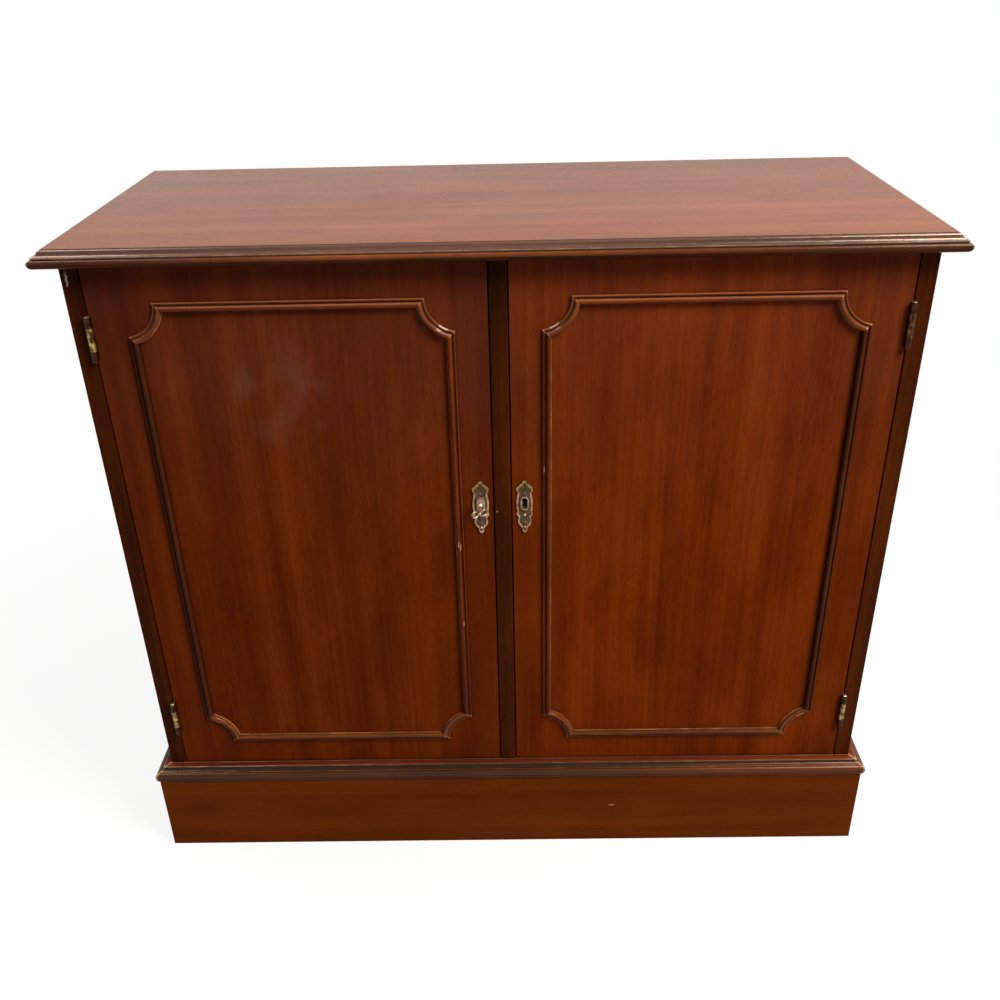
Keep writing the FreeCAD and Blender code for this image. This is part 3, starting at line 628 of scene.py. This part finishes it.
def bead_wood(name, grain, tones, rubbed, level):
    """Solid bead: painted light where it faces up, chipped, and painted glints at its corner tips.
    """
    material, place = start_material(name)
    colour, pores = mahogany(place, grain, tones)
    upright = place.node("ShaderNodeNewGeometry", output="Normal").along("Z")
    # Painted light on the faces of the upper beads that look up.
    lit_from_above = upright.between(0.4, 0.95) * place.along("Z").between(0.4, 0.6)
    # Painted shade in the hollows; arrises paler as wear and painted highlight.
    colour = wear_and_painted_light(place, colour, "b07a48", 0.0016, 0.55, rubbed)
    colour = mixed(colour, tint("b0724a"), lit_from_above * 0.5)
    for centre, reach in bead_chips:
        colour = mixed(colour, tint("a8805c"), mark(place, centre, reach))
    upfront = upright.between(0.0, 0.5)
    for x, z in painted_glint_spots:
        glint = mark(place, (x, front, z), glint_reach, 0.3)
        colour = mixed(colour, tint("d8b4a0"), glint * upfront * 0.75)
    polished(place, colour, pores, 0.16, level=level, sheen=(1.0, 0.8, 0.65))
    return material


straight_tones = ("46180a", "5c2307", "702f0a")
for length, grain, tones, rubbed, level in (
        ("top", "X", straight_tones, (0.3, 0.65), 0.1),
        ("bottom", "X", ("48200e", "5e2e13", "733e1c"), (0.22, 0.55), 0.1),
        ("hinge_side", "Z", ("341507", "441c08", "56270c"), (0.75, 1.0), 0.05),
        ("lock_side", "Z", straight_tones, (0.22, 0.5), 0.05),
        ("corners", "X", ("52220e", "6a3112", "7e411c"), (0.22, 0.5), 0.15)):
    finish = bead_wood("bead_mahogany_" + length, grain, tones, rubbed, level)
    dress(finish, "left_bead_" + length, "right_bead_" + length)


# Butt hinges
# Two brass butts on each door, let into the door and the side and turning on a brass pin. Three
# countersunk slotted screws hold each leaf; only the middle knuckles still shine.

screw_length = 0.009
head_clearance = 0.00005


def add_screw(shape, spot, outward, head, shank, turn):
    """Slotted countersunk screw: its head fills the countersink, its shank runs on behind it."""
    depth = head - shank
    slot_half, slot_depth = head * 0.14, head * 0.2
    before = set(shape.verts)
    bmesh.ops.create_cone(shape, cap_ends=True, segments=28, radius1=shank, radius2=head * 0.97,
                          depth=depth,
                          matrix=Matrix.Translation((0, 0, -depth / 2 - head_clearance)))
    made = set(shape.verts) - before
    for way in (-1, 1):
        faces = {face for vert in made for face in vert.link_faces}
        edges = {edge for vert in made for edge in vert.link_edges}
        bmesh.ops.bisect_plane(shape, geom=list(made) + list(faces) + list(edges),
                               plane_co=(way * slot_half, 0, 0), plane_no=(1, 0, 0))
        made = set(shape.verts) - before
    crown = next(face for vert in made for face in vert.link_faces
                 if face.normal.z > 0.9 and abs(face.calc_center_median().x) < slot_half * 0.5)
    sunk = bmesh.ops.extrude_discrete_faces(shape, faces=[crown])["faces"][0]
    for vert in sunk.verts:
        vert.co.z -= slot_depth
    bmesh.ops.create_cone(shape, cap_ends=True, segments=16, radius1=shank * 0.3,
                          radius2=shank * 0.9, depth=screw_length,
                          matrix=Matrix.Translation((0, 0, -depth - screw_length / 2)))
    placed = Matrix.Translation(spot) @ outward.to_track_quat("Z", "Y").to_matrix().to_4x4()
    placed = placed @ Matrix.Rotation(turn, 4, "Z")
    bmesh.ops.transform(shape, matrix=placed, verts=list(set(shape.verts) - before))


def screw_set(name, spots, outward, body, slot, material, head=0.003, shank=0.0017):
    """One piece holding the screws of one plate, their slots at chance angles."""
    chance = random.Random(name)
    shape = bmesh.new()
    for spot in spots:
        add_screw(shape, spot, outward, head, shank, chance.uniform(0, math.pi))
    piece = stand(shape, name)
    piece.data.materials.append(material)
    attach(piece, body)


hidden_brass = ("8c6c3a", "664a24")
leaf_brass = brass("hinge_brass", "46281a", "2a160d", share=0.35, leaf=hidden_brass)
knuckle_brass = brass("hinge_brass_rubbed", "bc9c60", "382310", share=0.3, leaf=hidden_brass)
dull_brass = brass("hinge_brass_dull", "725030", "2c180e", share=0.3, leaf=hidden_brass)
hinge_pin_brass = brass("hinge_pin_brass", "b89c7c", "6a5030")
screw_brass = brass("screw_brass", "a98348", "6e4c22")
leaf_face = 0.000125
leaf_screw_back = 0.0072
leaf_screw_pitch = 0.017
for side in ("left", "right"):
    for level in ("lower", "upper"):
        stem = side + "_" + level + "_hinge_"
        dress(leaf_brass, stem + "side_leaf")
        dress(hinge_pin_brass, stem + "pin")
        dress(dull_brass if stem == "right_upper_hinge_" else knuckle_brass, stem + "door_leaf")
        low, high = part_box(stem + "side_leaf")
        middle = (low + high) / 2
        for leaf, body in (("side", "carcass"), ("door", side + "_door")):
            inward = 1 if (leaf == "side") == (side == "left") else -1
            spots = [Vector((middle.x - inward * leaf_face, high.y - leaf_screw_back,
                             middle.z + step * leaf_screw_pitch)) for step in (-1, 0, 1)]
            screw_set(stem + leaf + "_screws", spots, Vector((inward, 0, 0)), body,
                      "hinge_brass", screw_brass)


# Locks
# Cupboard locks screwed to the backs of the doors: brass case, steel bolt, and a brass strike let
# into the partition with two small screws.

lock_brass = brass("lock_brass", "a88a52", "886a3a", share=0.8)
lock_steel = brass("lock_steel", "9a9a98", "66625c")
case_arris = 0.0004
case_edge = 0.005
flange = 0.009
flange_thickness = 0.0015
lock_screw_inset = 0.007
strike_screw_reach = 0.0124
strike_screw = (0.0024, 0.0014)
for side, way in (("left", -1), ("right", 1)):
    eased(side + "_lock_case", case_arris,
          lambda edge: edge.calc_length() > case_edge)
    dress(lock_brass, side + "_lock_case", side + "_strike")
    dress(lock_steel, side + "_lock_bolt")
    low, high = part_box(side + "_lock_case")
    plate_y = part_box(side + "_door_board")[1].y + flange_thickness
    spots = [Vector((x, plate_y, z)) for x in (low.x + lock_screw_inset, high.x - lock_screw_inset)
             for z in (low.z + flange / 2, high.z - flange / 2)]
    screw_set(side + "_lock_screws", spots, Vector((0, 1, 0)), side + "_door", "lock_brass",
              screw_brass)
    low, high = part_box(side + "_strike")
    middle = (low + high) / 2
    face_x = low.x if side == "left" else high.x
    spots = [Vector((face_x, middle.y, middle.z + step * strike_screw_reach)) for step in (-1, 1)]
    screw_set(side + "_strike_screws", spots, Vector((way, 0, 0)), "carcass", "lock_brass",
              screw_brass, *strike_screw)


# Keyhole plates
# Cast brass plates with a crown, a sunk field and an oval rim, held over the keyholes by two small
# round-headed pins. Polish has gone black in the hollows and the high edges are bright.

crown_drop = 0.013
sunk_field = (front - 0.0015, front - 0.0012)
plate_brass = brass("plate_brass", "c4a080", "7a5c38", share=0.45, sunk=sunk_field,
                    crown=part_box("left_keyhole_plate")[1].z - crown_drop)
pin_brass = brass("pin_brass", "5a4526", "2c2012")
plate_arris = 0.00015
pin_drops = (0.24, 0.80)
pin_radius = 0.00115
pin_flatness = 0.6
pin_length = 0.008
pin_seat = front - 0.0011
for side in ("left", "right"):
    eased(side + "_keyhole_plate", plate_arris, lambda edge: True)
    dress(plate_brass, side + "_keyhole_plate")
    low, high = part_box(side + "_keyhole_plate")
    inwards = Matrix.Translation((0, pin_length / 2, 0)) @ Matrix.Rotation(math.pi / 2, 4, "X")
    shape = bmesh.new()
    for drop in pin_drops:
        head = bmesh.ops.create_uvsphere(shape, u_segments=16, v_segments=10,
                                         radius=pin_radius)["verts"]
        bmesh.ops.scale(shape, vec=(1, pin_flatness, 1), verts=head)
        shank = bmesh.ops.create_cone(shape, cap_ends=True, segments=12, radius1=0.0004,
                                      radius2=0.0008, depth=pin_length, matrix=inwards)["verts"]
        spot = Vector(((low.x + high.x) / 2, pin_seat, high.z + (low.z - high.z) * drop))
        bmesh.ops.translate(shape, vec=spot, verts=head + shank)
    pins = stand(shape, side + "_plate_pins")
    pins.data.shade_smooth()
    pins.data.materials.append(pin_brass)
    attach(pins, side + "_door")


# Key
# Cast brass key with a turned collar and knop and a bow of two loops, rubbed bright by fingers
# and left in the left lock.

dress(brass("key_brass", "dcc4a4", "a88c6a", dirt_reach=0.0015), "left_key")


# Studio
# A pale floor that shows white behind the cabinet and keeps its shadow, one soft box high on the
# right, two ceiling lights that draw bright lines on the mouldings, and the photograph's camera.

floor_size = 160.0
shadow_near, shadow_far = 0.6, 1.5
near_glow = 0.86
sheet = bmesh.new()
bmesh.ops.create_grid(sheet, x_segments=1, y_segments=1, size=floor_size / 2)
floor = stand(sheet, "floor")


def seen_rays(place):
    """1 for the rays that show the backdrop: seen straight, mirrored or through something clear."""
    straight, mirrored, through = (place.node("ShaderNodeLightPath", output="Is " + kind + " Ray")
                                   for kind in ("Camera", "Glossy", "Transmission"))
    return straight + mirrored + through


floor_white, place = start_material("floor_white")
paper = place.node("ShaderNodeBsdfDiffuse", None, {"Color": (0.9, 0.9, 0.9, 1.0)})
unseen = place.node("ShaderNodeBsdfDiffuse", None, {"Color": (0.45, 0.43, 0.41, 1.0)})
glow = place.node("ShaderNodeEmission", None, {"Color": (1.0, 1.0, 1.0, 1.0), "Strength": 1.0})
glow_share = place.length().between(shadow_near, shadow_far) * (1 - near_glow) + near_glow
lit = place.node("ShaderNodeMixShader", None, {0: glow_share, 1: paper, 2: glow})
both = place.node("ShaderNodeMixShader", None, {0: seen_rays(place), 1: unseen, 2: lit})
both.node("ShaderNodeOutputMaterial", None, {"Surface": both})
floor.data.materials.append(floor_white)

world = bpy.data.worlds.new("studio")
bpy.context.scene.world = world
world.use_nodes = True
world.node_tree.nodes.clear()
way = Wire(world.node_tree.nodes.new("ShaderNodeTexCoord").outputs["Generated"])
dim, bright = (way.node("ShaderNodeBackground", None, {"Strength": strength})
               for strength in (0.1, 0.7))
wall_share = way.along("Y").between(-0.2, 0.7)
wall = way.node("ShaderNodeMixShader", None, {0: wall_share, 1: dim, 2: bright})
paper = way.node("ShaderNodeBackground", None, {"Color": (1.0, 1.0, 1.0, 1.0), "Strength": 1.0})
both = way.node("ShaderNodeMixShader", None, {0: seen_rays(way), 1: wall, 2: paper})
both.node("ShaderNodeOutputWorld", None, {"Surface": both})


def soft_box(name, place, aim, width, height, power):
    """Large rectangular lamp aimed at a point."""
    lamp = bpy.data.lights.new(name, "AREA")
    lamp.shape = "RECTANGLE"
    lamp.size = width
    lamp.size_y = height
    lamp.energy = power
    lamp.color = (1.0, 0.97, 0.93)
    holder = bpy.data.objects.new(name, lamp)
    holder.location = place
    holder.rotation_euler = (Vector(aim) - Vector(place)).to_track_quat("-Z", "Y").to_euler()
    bpy.context.scene.collection.objects.link(holder)


soft_box("right_box", (2.0, -1.65, 3.25), (0.0, -0.1, 0.5), 1.1, 1.6, 195.0)
soft_box("left_ceiling", (-1.35, 0.0, 2.75), (-1.35, 0.0, 0.0), 0.6, 1.1, 25.0)
soft_box("right_ceiling", (1.4, 0.0, 2.75), (1.4, 0.0, 0.0), 0.6, 1.1, 25.0)

camera = bpy.data.cameras.new("photo_camera")
camera.sensor_width = 36.0
camera.lens = 37.106
camera.shift_x = -0.0009
camera.shift_y = -0.0055
camera_angles = (61.245, 1.184, 0.298)
camera_holder = bpy.data.objects.new("photo_camera", camera)
camera_holder.location = (0.01527, -1.20195, 1.1028)
camera_holder.rotation_euler = Euler([math.radians(angle) for angle in camera_angles], "XYZ")
bpy.context.scene.collection.objects.link(camera_holder)
bpy.context.scene.camera = camera_holder
bpy.context.scene.view_settings.view_transform = "Standard"
